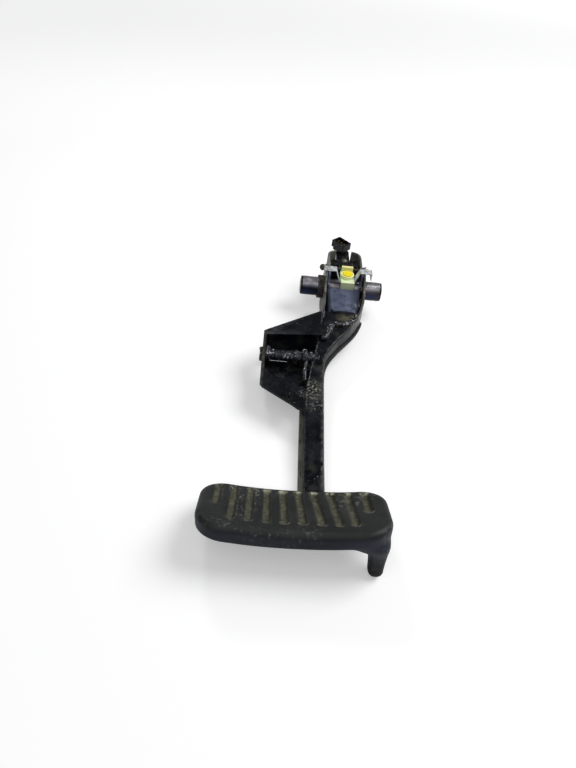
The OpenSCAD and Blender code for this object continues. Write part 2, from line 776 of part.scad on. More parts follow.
module housing_screw() {
    color("#55565a")
    translate([screw_x, screw_y, 0])
        union() {
            translate([0, 0, socket_z])
                intersection() {
                    translate([0, 0, -2.2]) sphere(d = 8.4);
                    cylinder(d = 7, h = 5);
                }
            translate([0, 0, 5]) cylinder(d = screw_shank, h = socket_z - 4.5);
        }
}

arm_channel();
arm_back_plate();
hub_bracket();
pivot_tube();
tube_collar();
bush(-1);  // bush_left
bush(1);  // bush_right
pivot_sleeve();
pushrod_bracket();
pushrod_pin();
pad_plate();
pad_rubber();
spring_clip();
plunger_carrier();
plunger_cap();
plunger_spring();
retaining_pin();
pin_lock_ring();
switch_housing();
switch_connector();
terminal_pins();
housing_screw();
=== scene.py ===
# %% [markdown]
# # A brake pedal, dressed on its frame
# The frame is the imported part: every pressed sheet, pin and bush as an exact solid, at its real
# size in metres. This script keeps those solids where they are and gives them what a solid model
# lacks: rounded press folds, weld beads, a moulded rubber boot, worn paint and heat-tinted steel.

# %% Load the frame
import json

import bmesh
import bpy
import numpy as np
from mathutils import Matrix, Vector


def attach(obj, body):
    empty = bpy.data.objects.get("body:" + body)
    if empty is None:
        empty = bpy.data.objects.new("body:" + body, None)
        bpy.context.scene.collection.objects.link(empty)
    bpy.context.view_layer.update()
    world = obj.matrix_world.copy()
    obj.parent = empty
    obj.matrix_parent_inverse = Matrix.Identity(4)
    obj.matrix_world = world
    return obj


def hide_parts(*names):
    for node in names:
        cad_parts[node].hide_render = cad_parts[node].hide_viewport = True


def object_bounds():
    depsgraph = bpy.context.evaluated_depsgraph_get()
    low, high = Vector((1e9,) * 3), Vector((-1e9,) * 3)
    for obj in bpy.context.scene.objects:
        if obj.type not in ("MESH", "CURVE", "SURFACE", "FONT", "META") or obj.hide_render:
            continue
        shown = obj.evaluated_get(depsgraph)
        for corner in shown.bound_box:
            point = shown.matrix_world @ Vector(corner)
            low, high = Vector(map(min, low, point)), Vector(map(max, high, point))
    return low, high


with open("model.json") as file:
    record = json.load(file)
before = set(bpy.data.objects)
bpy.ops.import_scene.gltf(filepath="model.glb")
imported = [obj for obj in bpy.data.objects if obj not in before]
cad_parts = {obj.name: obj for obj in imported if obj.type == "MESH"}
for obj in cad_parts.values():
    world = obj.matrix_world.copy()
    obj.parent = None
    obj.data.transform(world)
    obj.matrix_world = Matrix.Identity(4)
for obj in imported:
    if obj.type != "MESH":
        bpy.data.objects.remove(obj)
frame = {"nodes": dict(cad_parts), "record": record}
cad_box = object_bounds()
nodes = frame["nodes"]
print(len(nodes), "nodes,", [round(1000 * (b - a)) for a, b in zip(*cad_box)], "mm")

# %% [markdown]
# The camera stands where the eye of the photograph stands, nearly half a metre in front of the
# pivot and 0.3 m above it, looking down on the pedal. Its three axes follow from three angles,
# so they are worked out and put straight into the camera's matrix, which keeps the small roll
# of a hand-held shot.

# %% Camera
EYE = (-0.0691, -0.4727, 0.3019)
DOWN, TURN, ROLL = np.radians([42.0, 4.0, 7.82])
LENS_MM = 28.125
SENSOR_MM = 36.0

ahead = np.array([np.sin(TURN) * np.cos(DOWN), np.cos(TURN) * np.cos(DOWN), -np.sin(DOWN)])
level = np.array([np.cos(TURN), -np.sin(TURN), 0.0])
above = np.cross(level, ahead)
right = np.cos(ROLL) * level + np.sin(ROLL) * above
up = np.cos(ROLL) * above - np.sin(ROLL) * level

camera = bpy.data.objects.new("camera", bpy.data.cameras.new("camera"))
bpy.context.scene.collection.objects.link(camera)
camera.data.lens = LENS_MM
camera.data.sensor_width = SENSOR_MM
camera.data.clip_start = 0.01
axes = np.stack([right, up, -ahead], 1).tolist()
camera.matrix_world = Matrix([[*row, place] for row, place in zip(axes, EYE)] + [[0, 0, 0, 1]])
bpy.context.scene.camera = camera
bpy.context.scene.view_settings.view_transform = "Standard"
print("camera looks", np.degrees(DOWN).round(1), "degrees down")

# %% [markdown]
# Every material is a small graph of nodes. One function adds a node, with its own settings and
# with what goes into its sockets, and another turns a colour as it is seen on a screen, an sRGB
# hex value, into the linear numbers that the renderer counts in. The other helpers are masks,
# which run from 0 to 1 over the piece, and the few ways in which a mask is used.

# %% Colours and nodes
MM = 0.001


def linear(colour, alpha=1.0):
    """sRGB hex to linear: c / 12.92 at the low end, above it ((c + 0.055) / 1.055) to the power 2.4."""
    c = np.array([int(colour[i:i + 2], 16) for i in (1, 3, 5)]) / 255.0
    return (*np.where(c <= 0.04045, c / 12.92, ((c + 0.055) / 1.055) ** 2.4).tolist(), alpha)


def add(tree, kind, into=None, **settings):
    """Adds one node. Settings are the node's own, into says what goes into its sockets."""
    node = tree.nodes.new("ShaderNode" + kind)
    for name, value in settings.items():
        setattr(node, name, value)
    for socket, value in (into or {}).items():
        if isinstance(value, bpy.types.NodeSocket):
            tree.links.new(value, node.inputs[socket])
        else:
            node.inputs[socket].default_value = value
    return node


def material(name, **sockets):
    """A new material with one Principled shader, and plain values on the shader's own sockets."""
    made = bpy.data.materials.new(name)
    made.use_nodes = True
    shader = made.node_tree.nodes["Principled BSDF"]
    for socket, value in sockets.items():
        shader.inputs[socket.replace("_", " ")].default_value = value
    return made, made.node_tree, shader


def blotches(tree, size_mm, low, high, detail=4.0, stretch=(1, 1, 1), shift=0.0):
    """A mask of soft spots about size_mm across: noise on the piece's own coordinates, its
    values from low to high spread over 0 to 1."""
    place = add(tree, "TexCoord").outputs["Object"]
    placed = add(tree, "Mapping", {"Vector": place, "Scale": stretch, "Location": (shift, shift, shift)})
    per_metre = 0.5 / (size_mm * MM)
    noise = add(tree, "TexNoise", {"Vector": placed.outputs[0], "Scale": per_metre, "Detail": detail})
    span = {"Value": noise.outputs["Fac"], "From Min": low, "From Max": high}
    return add(tree, "MapRange", span).outputs[0]


def near(tree, point_mm, inner_mm, outer_mm):
    """A mask that is 1 within inner_mm of a place on the object and falls to 0 at outer_mm."""
    place = add(tree, "TexCoord").outputs["Object"]
    point = tuple(x * MM for x in point_mm)
    away = add(tree, "VectorMath", {0: place, 1: point}, operation="DISTANCE").outputs["Value"]
    span = {"Value": away, "From Min": outer_mm * MM, "From Max": inner_mm * MM}
    return add(tree, "MapRange", span).outputs[0]


def along(tree, axis, start_mm, end_mm):
    """A mask that rises from 0 to 1 between two places along X, Y or Z."""
    place = add(tree, "TexCoord").outputs["Object"]
    value = add(tree, "SeparateXYZ", {0: place}).outputs[axis]
    span = {"Value": value, "From Min": start_mm * MM, "From Max": end_mm * MM}
    return add(tree, "MapRange", span).outputs[0]


def both(tree, a, b):
    """Two masks multiplied, so that the result is strong only where both are."""
    return add(tree, "Math", {0: a, 1: b}, operation="MULTIPLY").outputs[0]


def raised(tree, mask, gain, base):
    """base + gain times the mask."""
    return add(tree, "Math", {0: mask, 1: gain, 2: base}, operation="MULTIPLY_ADD").outputs[0]


def spread(tree, mask, low, high):
    """A mask turned into values from low to high, such as a roughness."""
    return add(tree, "MapRange", {"Value": mask, "To Min": low, "To Max": high}).outputs[0]


def over(tree, mask, below, above):
    """One colour laid over another through a mask. A colour is a socket or an sRGB hex value."""
    below, above = (linear(c) if isinstance(c, str) else c for c in (below, above))
    return add(tree, "Mix", {0: mask, 6: below, 7: above}, data_type="RGBA").outputs[2]


def worn_and_highlit_edges(tree, share, flat=0.53, sharp=0.62):
    """A mask of convex edges, broken up by noise: paint rubbed thin there and a painted highlight."""
    bend = add(tree, "NewGeometry").outputs["Pointiness"]
    span = {"Value": bend, "From Min": flat, "From Max": sharp, "To Max": share}
    edge = add(tree, "MapRange", span).outputs[0]
    return both(tree, edge, blotches(tree, 2.0, 0.3, 0.55, detail=6, shift=9.0))


def relief(tree, shader, height, depth_mm):
    """Fine unevenness: the height, from 0 to 1, stands depth_mm high in the shading."""
    bump = add(tree, "Bump", {"Height": height, "Distance": depth_mm * MM, "Strength": 1.0})
    tree.links.new(bump.outputs[0], shader.inputs["Normal"])


def coat(tree, shader, colour, rough=None):
    """Joins the finished colour to the shader, and the roughness where it varies."""
    tree.links.new(colour, shader.inputs["Base Color"])
    if rough is not None:
        tree.links.new(rough, shader.inputs["Roughness"])


print("grey 128 is", round(linear("#808080")[0], 3), "in linear light")

# %% [markdown]
# The pressed steel of the arm and its side bracket was dipped in thin black paint. Clean paint
# is glossy and near black; its blue cast is a painted reflection. Years under a dashboard left
# olive-grey dust, dull scuffs and a pale crust of weld spatter, and the cheeks at the pivot were
# left almost bare. Folds and edges are lighter grey: paint rubbed thin, with a painted highlight.
# A local mark has its middle in millimetres on the pedal and the radii between which it fades.

# %% Dipped black paint
CRUST_BY_ARM = ((-28.5, -139, -2), 5, 12)
CRUST_ON_FLANGE = ((-24, -152, -2), 4, 12)
OLIVE_PATCH = ((3, -58, 8), 5, 12)
RUST_SPOT = ((-68, -117, -6), 3, 8)
LEFT_WALL_X_MM = (-64.3, -66)
BARE_CHEEKS_Y_MM = (-58, -20)


def dipped_paint(name, dusty, bare_from=None, edge=(0.53, 0.62)):
    """Black dip paint on pressed steel, its gloss broken by dust, bare zinc-grey past a place along Y."""
    made, tree, shader = material(name, IOR=1.5, Specular_IOR_Level=0.16)
    # Its blue cast is a painted reflection.
    colour = over(tree, blotches(tree, 9, 0.42, 0.7), "#08090f", "#171a20")
    dust = both(tree, blotches(tree, 4, 0.46, 0.7, detail=8), blotches(tree, 26, 0.36, 0.6, shift=3.0))
    dust = both(tree, dust, dusty)
    colour = over(tree, dust, colour, "#3e3e38")
    # Convex edges lighter grey: rubbed paint, and a painted highlight along the folds.
    colour = over(tree, worn_and_highlit_edges(tree, 0.65, *edge), colour, "#5f6066")
    specks = blotches(tree, 0.8, 0.68, 0.74, detail=2, shift=7.0)
    marks = (
        (near(tree, *CRUST_BY_ARM), blotches(tree, 0.9, 0.48, 0.66, detail=8), "#85857c"),
        (near(tree, *CRUST_ON_FLANGE), blotches(tree, 0.8, 0.52, 0.66, detail=7), "#6c6c66"),
        (near(tree, *OLIVE_PATCH), blotches(tree, 2.5, 0.3, 0.6), "#544f3f"),
        (along(tree, "X", *LEFT_WALL_X_MM), blotches(tree, 3, 0.3, 0.6), "#484540"),
        (near(tree, *RUST_SPOT), blotches(tree, 1.6, 0.42, 0.56, detail=6), "#4d3024"),
        (specks, blotches(tree, 18, 0.45, 0.6, shift=5.0), "#7d7d78"),
    )
    for place, broken, shade in marks:
        colour = over(tree, both(tree, place, broken), colour, shade)
    rough = spread(tree, blotches(tree, 5, 0.35, 0.7, detail=6, shift=1.0), 0.12, 0.34)
    rough = raised(tree, dust, 0.3, rough)
    if bare_from is not None:
        bare = both(tree, along(tree, "Y", *bare_from), blotches(tree, 3, 0.3, 0.52, detail=6, shift=2.0))
        metal = over(tree, blotches(tree, 2.2, 0.4, 0.62), "#5b5a52", "#807f78")
        colour = over(tree, bare, colour, metal)
    coat(tree, shader, colour, rough)
    relief(tree, shader, blotches(tree, 2.4, 0.2, 0.8, detail=6), 0.12)
    return made


arm_paint = dipped_paint("dipped_black_paint_arm", 0.5, BARE_CHEEKS_Y_MM, (0.515, 0.57))
bracket_paint = dipped_paint("dipped_black_paint_bracket", 0.35, edge=(0.64, 0.78))
print("paint:", arm_paint.name, bracket_paint.name)

# %% [markdown]
# The strip that closes the arm from below catches the most dirt: its edge is dry olive grey,
# lightened by a painted reflection of the white floor, with dark scratches that run along it.
# Towards the hub it is darker.

# %% Dusty closing strip
DARK_HUB_END_Y_MM = (-132, -100)
strip_finish, tree, shader = material("dusty_strip_painted_reflection", IOR=1.5, Roughness=0.62)
# Olive grey: dust, and a painted reflection of the white floor.
colour = over(tree, blotches(tree, 6, 0.35, 0.65), "#5c5c53", "#7c7c72")
scratches = blotches(tree, 0.9, 0.58, 0.66, stretch=(1, 0.08, 1))
colour = over(tree, scratches, colour, "#23241f")
colour = over(tree, along(tree, "Y", *DARK_HUB_END_Y_MM), colour, "#141619")
coat(tree, shader, colour)
relief(tree, shader, scratches, -0.08)
print("strip:", len(tree.nodes), "nodes")

# %% [markdown]
# The folded bracket in the hub is plated sheet with a thin blue-grey coat. Its bridge is
# smooth and faintly metallic, and it gets duller and olive with dirt towards the rear ears.

# %% Blue-grey plated sheet
SHADED_SIDE_X_MM = (4, 11)
PALE_PATCH = ((8.5, -44, 9), 2, 9)
DIRTY_EARS_Y_MM = (-8, 8)
hub_finish, tree, shader = material("blue_grey_plated_sheet", Metallic=0.35, IOR=1.5)
colour = over(tree, blotches(tree, 5, 0.38, 0.62), "#4a5266", "#646d84")
colour = over(tree, along(tree, "X", *SHADED_SIDE_X_MM), colour, "#3b4054")
# A paler patch on the bridge, near its lower right corner.
pale_patch = both(tree, near(tree, *PALE_PATCH), blotches(tree, 2, 0.42, 0.56))
colour = over(tree, pale_patch, colour, "#8d91a4")
# Convex edges pale grey: rubbed plating, and a painted highlight along them.
colour = over(tree, worn_and_highlit_edges(tree, 0.9, 0.62, 0.75), colour, "#b4b6bc")
dirt = both(tree, along(tree, "Y", *DIRTY_EARS_Y_MM), blotches(tree, 3, 0.28, 0.55, detail=7))
colour = over(tree, dirt, colour, "#7a786d")
colour = over(tree, blotches(tree, 1.2, 0.64, 0.72), colour, "#2b2c30")
coat(tree, shader, colour, raised(tree, dirt, 0.3, 0.3))
relief(tree, shader, blotches(tree, 1.8, 0.2, 0.8, detail=5), 0.06)
print("plated sheet:", len(tree.nodes), "nodes")

# %% [markdown]
# The pivot tube is bare drawn steel. Its colour is welding heat tint and a painted reflection:
# straw and brown on the side towards the far end, blue on the near side. Its top is made pale,
# a painted highlight. Faint turning marks run round it. A wave texture repeats every
# 2 pi / (20 scale) metres, so a scale of 250 puts the marks 1.26 mm apart, coarse enough to show.

# %% Heat-tinted steel tube
MARKS_SCALE = 250.0
HEAT_TINT_AND_REFLECTION_Y_MM = (-8, -2)
HIGHLIGHT_TOP_Z_MM = (2, 8)
tube_finish, tree, shader = material("drawn_steel_heat_tint_and_painted_light", Metallic=1.0)
# Blue on the near side, straw and brown beyond: heat tint and a painted reflection.
colour = over(tree, along(tree, "Y", *HEAT_TINT_AND_REFLECTION_Y_MM), "#353c5c", "#6a5f58")
colour = over(tree, blotches(tree, 4, 0.45, 0.65, stretch=(0.6, 1, 1)), colour, "#453c36")
# Pale top: a painted highlight.
top = both(tree, along(tree, "Z", *HIGHLIGHT_TOP_Z_MM), blotches(tree, 5, 0.3, 0.55))
colour = over(tree, top, colour, "#b3b0b6")
place = add(tree, "TexCoord").outputs["Object"]
wave = {"Vector": place, "Scale": MARKS_SCALE, "Distortion": 1.2, "Detail": 2.0}
marks = add(tree, "TexWave", wave, wave_type="BANDS", bands_direction="X")
coat(tree, shader, colour, spread(tree, blotches(tree, 3, 0.3, 0.7, detail=6), 0.22, 0.45))
relief(tree, shader, marks.outputs["Fac"], 0.01)
print("tube: marks", round(2 * np.pi / 20 / MARKS_SCALE / MM, 2), "mm apart")

# %% [markdown]
# The collar, the retaining pin and the screw are dark steel with scale and a little rust. The
# sleeve, the coil and the lock ring are zinc-plated and clean. Both are metals, so their colour
# is the colour of their reflection.

# %% Dark scaled steel and zinc-plated steel
scaled_steel, tree, shader = material("scaled_dark_steel", Metallic=0.8)
colour = over(tree, blotches(tree, 2.5, 0.4, 0.62, detail=6), "#3a3835", "#6a6862")
colour = over(tree, blotches(tree, 1.2, 0.62, 0.7), colour, "#6b4a34")
coat(tree, shader, colour, spread(tree, blotches(tree, 2, 0.3, 0.7), 0.32, 0.6))
relief(tree, shader, blotches(tree, 0.9, 0.2, 0.8, detail=6), 0.06)

zinc, tree, shader = material("zinc_plated_steel", Metallic=1.0)
colour = over(tree, blotches(tree, 1.5, 0.35, 0.65), "#a4a6a9", "#c8c9c6")
coat(tree, shader, colour, spread(tree, blotches(tree, 0.8, 0.3, 0.7), 0.25, 0.4))
relief(tree, shader, blotches(tree, 0.6, 0.2, 0.8), 0.01)
print("steels:", scaled_steel.name, zinc.name)

# %% [markdown]
# The push-rod pin was painted with the bracket and then spattered by the weld. It is wet-looking
# black, and its hard little highlights are painted on as pale specks. The weld beads share this finish.

# %% Spattered pin paint
pin_finish, tree, shader = material("spattered_black_paint_painted_glints", IOR=1.5)
colour = over(tree, blotches(tree, 2, 0.42, 0.62, detail=6), "#0c0e13", "#26282d")
# Pale specks: painted highlights, the glints of wet paint.
colour = over(tree, blotches(tree, 1.2, 0.6, 0.66), colour, "#b0b2ba")
coat(tree, shader, colour, spread(tree, blotches(tree, 1.5, 0.35, 0.65), 0.08, 0.28))
relief(tree, shader, blotches(tree, 2.2, 0.3, 0.75, detail=4), 0.5)
print("pin paint:", len(tree.nodes), "nodes")

# %% [markdown]
# The spring clip is bright strip, the lightest metal in the hub. Grime sits on its raised ears,
# with a few brown specks, and its edges are almost white: rubbed, and with a painted highlight.

# %% Bright spring strip
GRIMY_EARS_Z_MM = (17, 20)
spring_finish, tree, shader = material("bright_spring_strip", Metallic=0.3, IOR=1.5)
colour = over(tree, blotches(tree, 3, 0.35, 0.6), "#c6cedb", "#e6edf6")
grime = both(tree, along(tree, "Z", *GRIMY_EARS_Z_MM), blotches(tree, 1.4, 0.4, 0.6, detail=7))
colour = over(tree, grime, colour, "#8b877b")
colour = over(tree, blotches(tree, 0.7, 0.66, 0.72, shift=4.0), colour, "#5d4a3a")
# Edges almost white: rubbed metal and a painted highlight.
colour = over(tree, worn_and_highlit_edges(tree, 1.0), colour, "#f4f7fb")
coat(tree, shader, colour, raised(tree, grime, 0.3, 0.28))
relief(tree, shader, blotches(tree, 0.5, 0.3, 0.7), 0.02)
print("spring strip:", len(tree.nodes), "nodes")

# %% [markdown]
# Three plastics sit in the hub. The plunger's carrier is a pale green nylon that has gone
# chalky, the cap is glossy yellow acetal, and the switch is black glass-filled nylon with
# dust specks. Light plastics let some light in, so the pale two get some subsurface scatter.

# %% Moulded plastics
PALE_YELLOW_TOP_Z_MM = (14.5, 16.2)
pale_nylon, tree, shader = material("pale_green_nylon", IOR=1.53, Roughness=0.42, Subsurface_Weight=0.15,
                                    Subsurface_Scale=0.002)
colour = over(tree, blotches(tree, 2.5, 0.4, 0.65), "#dcebbb", "#eef6d2")
# The top, above Z 14.5 mm, is made a paler yellow.
colour = over(tree, along(tree, "Z", *PALE_YELLOW_TOP_Z_MM), colour, "#f1f0a6")
coat(tree, shader, over(tree, blotches(tree, 0.9, 0.66, 0.74), colour, "#a09c78"))
relief(tree, shader, blotches(tree, 0.5, 0.2, 0.8), 0.02)

yellow_acetal, tree, shader = material("yellow_acetal", IOR=1.48, Subsurface_Weight=0.1,
                                       Subsurface_Scale=0.001)
colour = over(tree, blotches(tree, 2, 0.4, 0.7), "#f2dc0c", "#f7e53a")
colour = over(tree, blotches(tree, 0.7, 0.68, 0.76), colour, "#b99a20")
coat(tree, shader, colour, spread(tree, blotches(tree, 1, 0.3, 0.7), 0.22, 0.36))
relief(tree, shader, blotches(tree, 0.6, 0.2, 0.8), 0.01)

black_nylon, tree, shader = material("black_glass_filled_nylon", IOR=1.53, Specular_IOR_Level=0.25)
colour = over(tree, blotches(tree, 3, 0.4, 0.7), "#050608", "#111318")
colour = over(tree, blotches(tree, 0.8, 0.62, 0.69), colour, "#6b6d70")
coat(tree, shader, colour, spread(tree, blotches(tree, 1.4, 0.3, 0.7), 0.25, 0.5))
relief(tree, shader, blotches(tree, 0.5, 0.2, 0.8), 0.03)
print("plastics:", pale_nylon.name, yellow_acetal.name, black_nylon.name)

# %% [markdown]
# The three terminals in the socket are strips of rolled brass, a warm metal with little relief,
# so a colour that wanders slightly is enough.

# %% Brass terminals
brass, tree, shader = material("rolled_brass", Metallic=1.0)
colour = over(tree, blotches(tree, 1, 0.4, 0.6), "#b9975a", "#d8b978")
coat(tree, shader, colour, spread(tree, blotches(tree, 0.6, 0.3, 0.7), 0.22, 0.35))
print("terminals:", brass.name)

# %% [markdown]
# The boot is rubber, moulded black and now grey with wear. Its face is dull, its lower wall gets
# a bluish painted sheen, a painted reflection, and dust has settled in the grooves. It is painted
# darker towards the tongue, a painted shade. How deep a point lies in a groove is stored on the
# boot's mesh as an attribute, so that the dust follows the shape.

# %% Worn moulded rubber
SHADED_TONGUE_Z_MM = (-6, -17)
rubber, tree, shader = material("worn_moulded_rubber", IOR=1.52, Specular_IOR_Level=0.3)
groove_mask, wall_mask, lip_mask = (
    add(tree, "Attribute", attribute_name=name).outputs["Fac"] for name in ("groove", "wall", "lip"))
colour = over(tree, blotches(tree, 11, 0.38, 0.66, detail=6), "#131515", "#242626")
# Painted reflection: a bluish painted sheen on the lower wall.
painted_sheen = over(tree, blotches(tree, 9, 0.35, 0.65), "#141722", "#262b38")
colour = over(tree, wall_mask, colour, painted_sheen)
# Painted shade: darker towards the tongue, from Z -6 mm down to -17 mm.
colour = over(tree, along(tree, "Z", *SHADED_TONGUE_Z_MM), colour, "#0a0b0d")
scuffs = both(tree, blotches(tree, 1.2, 0.54, 0.72, detail=8, shift=0.7),
              blotches(tree, 14, 0.5, 0.68, shift=2.6))
scuffs = both(tree, scuffs, raised(tree, wall_mask, -0.6, 1.0))
colour = over(tree, scuffs, colour, "#75756e")
thick = spread(tree, blotches(tree, 3, 0.2, 0.7, detail=7), 0.5, 1.0)
settled = both(tree, groove_mask, thick)
dry_dust = over(tree, blotches(tree, 1.2, 0.4, 0.7, detail=6), "#3d3d33", "#64634f")
colour = over(tree, settled, colour, dry_dust)
# The rims at the grooves' ends are made pale cream, less so towards the left end.
pale_groove_ends = both(tree, lip_mask, blotches(tree, 1.5, 0.38, 0.56, detail=5))
colour = over(tree, pale_groove_ends, colour, "#b5b39c")
coat(tree, shader, colour, raised(tree, settled, 0.25, 0.52))
relief(tree, shader, blotches(tree, 0.9, 0.2, 0.8, detail=7), 0.08)
print("rubber reads the attributes groove, wall and lip")

# %% [markdown]
# Each solid now gets the finish of its real material, in its one material slot.

# %% Give each solid its finish
FINISH = {
    "arm_channel": arm_paint, "arm_back_plate": strip_finish, "hub_bracket": hub_finish,
    "pivot_tube": tube_finish, "tube_collar": scaled_steel, "pivot_sleeve": zinc,
    "bush_left": black_nylon, "bush_right": black_nylon,
    "pushrod_bracket": bracket_paint, "pushrod_pin": pin_finish,
    "pad_plate": bracket_paint, "pad_rubber": rubber, "spring_clip": spring_finish,
    "plunger_carrier": pale_nylon, "plunger_cap": yellow_acetal, "plunger_spring": zinc,
    "retaining_pin": scaled_steel, "pin_lock_ring": zinc, "housing_screw": scaled_steel,
    "switch_housing": black_nylon, "switch_connector": black_nylon, "terminal_pins": brass,
}
for name, finish in FINISH.items():
    nodes[name].data.materials.clear()
    nodes[name].data.materials.append(finish)
print("nodes without a finish:", sorted(set(nodes) - set(FINISH)) or "none")

# %% [markdown]
# A press leaves no sharp edge: folds have a radius of about a millimetre and cut edges a
# smaller burr radius that catches the light. The solids are sharp there, so four sheets and two
# mouldings get a copy with a Bevel modifier, which stands for the node. A fold is told from a
# cut edge by its faces: both reach further than the sheet is thick. Weighted normals keep the
# flat faces flat.

# %% Rounded press edges
BODIES = frame["record"]["behaviour"]["bodies"]
BODY = {node: body for body, members in BODIES.items() for node in members}
MERGE_M = 2e-6
FLAT_ANGLE = np.radians(0.6)
EDGE_ANGLE = np.radians(28)
FOLD_REACH_MM = 4
BOX_SLACK_MM = 0.05
SHRINK = 0.8
TRIES = 12
FOLDS_MM = {"pushrod_bracket": 1.6, "hub_bracket": 1.2, "arm_back_plate": 0.8, "spring_clip": 0.3,
            "plunger_carrier": 0.4, "switch_connector": 0.5}


def adopt(piece, *stands_for, body=None):
    """Puts a new piece into the scene, on the body of the node it stands for or on the body named."""
    bpy.context.scene.collection.objects.link(piece)
    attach(piece, body or BODY[stands_for[0]])
    if stands_for:
        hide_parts(*stands_for)
    return piece


def corners(thing):
    """Lowest and highest corner of an object's mesh."""
    co = np.empty(len(thing.data.vertices) * 3)
    thing.data.vertices.foreach_get("co", co)
    return co.reshape(-1, 3).min(0), co.reshape(-1, 3).max(0)


def reach(edge, face):
    """How far a face reaches away from one of its edges, measured square to the edge."""
    start, ahead = edge.verts[0].co, (edge.verts[1].co - edge.verts[0].co).normalized()
    return max((v.co - start).cross(ahead).length for v in face.verts)


def eased(node, fold_mm, burr_mm=0.5, steps=4):
    """A copy of a node, its double points merged. Folds, between faces that both reach far, get
    fold_mm, and cut edges burr_mm at most. The radius shrinks by a fifth at a time until no
    point leaves the node's box."""
    skin = bmesh.new()
    skin.from_mesh(nodes[node].data)
    bmesh.ops.remove_doubles(skin, verts=skin.verts, dist=MERGE_M)
    bmesh.ops.dissolve_limit(skin, angle_limit=FLAT_ANGLE, verts=skin.verts, edges=skin.edges)
    weight = skin.edges.layers.float.new("bevel_weight_edge")
    folds = 0
    for edge in skin.edges:
        if len(edge.link_faces) == 2 and edge.calc_face_angle(0) > EDGE_ANGLE:
            fold = min(reach(edge, face) for face in edge.link_faces) > FOLD_REACH_MM * MM
            edge[weight] = 1.0 if fold else min(burr_mm / fold_mm, 1.0)
            folds += fold
    mesh = bpy.data.meshes.new(node + "_eased")
    skin.to_mesh(mesh)
    skin.free()
    for face in mesh.polygons:
        face.use_smooth = True
    mesh.materials.append(FINISH[node])
    piece = bpy.data.objects.new(node + "_eased", mesh)
    bevel = piece.modifiers.new("eased edges", "BEVEL")
    bevel.width = fold_mm * MM
    bevel.segments = steps
    bevel.limit_method = "WEIGHT"
    bevel.use_clamp_overlap = False
    flat = piece.modifiers.new("flat faces stay flat", "WEIGHTED_NORMAL")
    flat.weight = 100
    flat.keep_sharp = True
    adopt(piece, node)
    low, high = corners(nodes[node])
    slack = BOX_SLACK_MM * MM
    for _ in range(TRIES):
        least, most = corners(piece.evaluated_get(bpy.context.evaluated_depsgraph_get()))
        if (least > low - slack).all() and (most < high + slack).all():
            break
        bevel.width *= SHRINK
    print(node, len(mesh.polygons), "faces,", folds, "fold edges at", round(bevel.width / MM, 2), "mm")


for node, radius in FOLDS_MM.items():
    eased(node, radius)

# %% [markdown]
# The arm is drawn deep, so its folds flow into one another, and no bevel can follow that. It is
# remeshed into the skin of small cubes, a voxel mesh, and relaxed: each point moves towards the
# mean of its neighbours, which rounds the edges and leaves the flats, and a smaller step back
# keeps the sheet from thinning. The skin then settles by a fifth of a millimetre, so that the
# sheets that lie against the arm stay on top of it, and the left wall's edge dips where the
# bracket's web passes over it.

# %% The drawn arm: one skin, relaxed
ARM_VOXEL_MM = 0.9
SETTLE_MM = 0.18
WEB_CLEARANCE_MM = 1.3
WEB_MIDDLE_MM = [-17.0, -63.0, 8.0]
WEB_SPREAD_MM = [3.0, 9.0, 7.0]
CHEEKS_END_MM = -66
CHEEKS_FADE_MM = 12


def one_skin(name, meshes, voxel_mm):
    """The outer skin of some meshes as one evenly spaced mesh, by a Voxel Remesh modifier."""
    pile = bmesh.new()
    for mesh in meshes:
        pile.from_mesh(mesh)
    bmesh.ops.remove_doubles(pile, verts=pile.verts, dist=MERGE_M)
    joined = bpy.data.meshes.new(name + "_parts")
    pile.to_mesh(joined)
    pile.free()
    source = bpy.data.objects.new(name + "_parts", joined)
    bpy.context.scene.collection.objects.link(source)
    remesh = source.modifiers.new("one skin", "REMESH")
    remesh.mode = "VOXEL"
    remesh.voxel_size = voxel_mm * MM
    skin = bpy.data.meshes.new_from_object(source.evaluated_get(bpy.context.evaluated_depsgraph_get()))
    skin.name = name
    bpy.data.objects.remove(source)
    skin.materials.clear()
    for face in skin.polygons:
        face.use_smooth = True
    return skin


def relaxed(mesh, rounds, ahead, behind, weight=None):
    """Moves each point p: p + ahead w (mean - p), then p - behind w (mean - p), where mean is
    that of its neighbours and w is weight(p). Returns the points."""
    p = np.empty(len(mesh.vertices) * 3)
    mesh.vertices.foreach_get("co", p)
    p = p.reshape(-1, 3)
    ends = np.empty(len(mesh.edges) * 2, np.int64)
    mesh.edges.foreach_get("vertices", ends)
    a, b = ends.reshape(-1, 2).T
    count = np.maximum(np.bincount(ends, minlength=len(p)), 1)[:, None]
    w = 1.0 if weight is None else weight(p)[:, None]
    for step in [ahead, -behind] * rounds:
        total = [np.bincount(a, p[b, c], len(p)) + np.bincount(b, p[a, c], len(p)) for c in range(3)]
        p = p + step * w * (np.stack(total, 1) / count - p)
    mesh.vertices.foreach_set("co", p.ravel())
    return p


def below_cheeks(p):
    """0 on the flat cheeks, which other sheets lie against, rising to 1 down the arm."""
    return np.clip((CHEEKS_END_MM - p[:, 1] / MM) / CHEEKS_FADE_MM, 0, 1)


mesh = one_skin("arm_drawn", [nodes["arm_channel"].data], ARM_VOXEL_MM)
skin = relaxed(mesh, 14, 0.6, 0.35, below_cheeks)
outward = np.empty(skin.size)
mesh.vertices.foreach_get("normal", outward)
skin = skin - SETTLE_MM * MM * outward.reshape(-1, 3)
under_web = np.exp(-(((skin / MM - WEB_MIDDLE_MM) / WEB_SPREAD_MM) ** 2).sum(1))
skin[:, 2] -= WEB_CLEARANCE_MM * MM * under_web
mesh.vertices.foreach_set("co", skin.ravel())
mesh.materials.append(arm_paint)
adopt(bpy.data.objects.new("arm_drawn", mesh), "arm_channel")
print("arm", len(mesh.polygons), "faces in its skin")

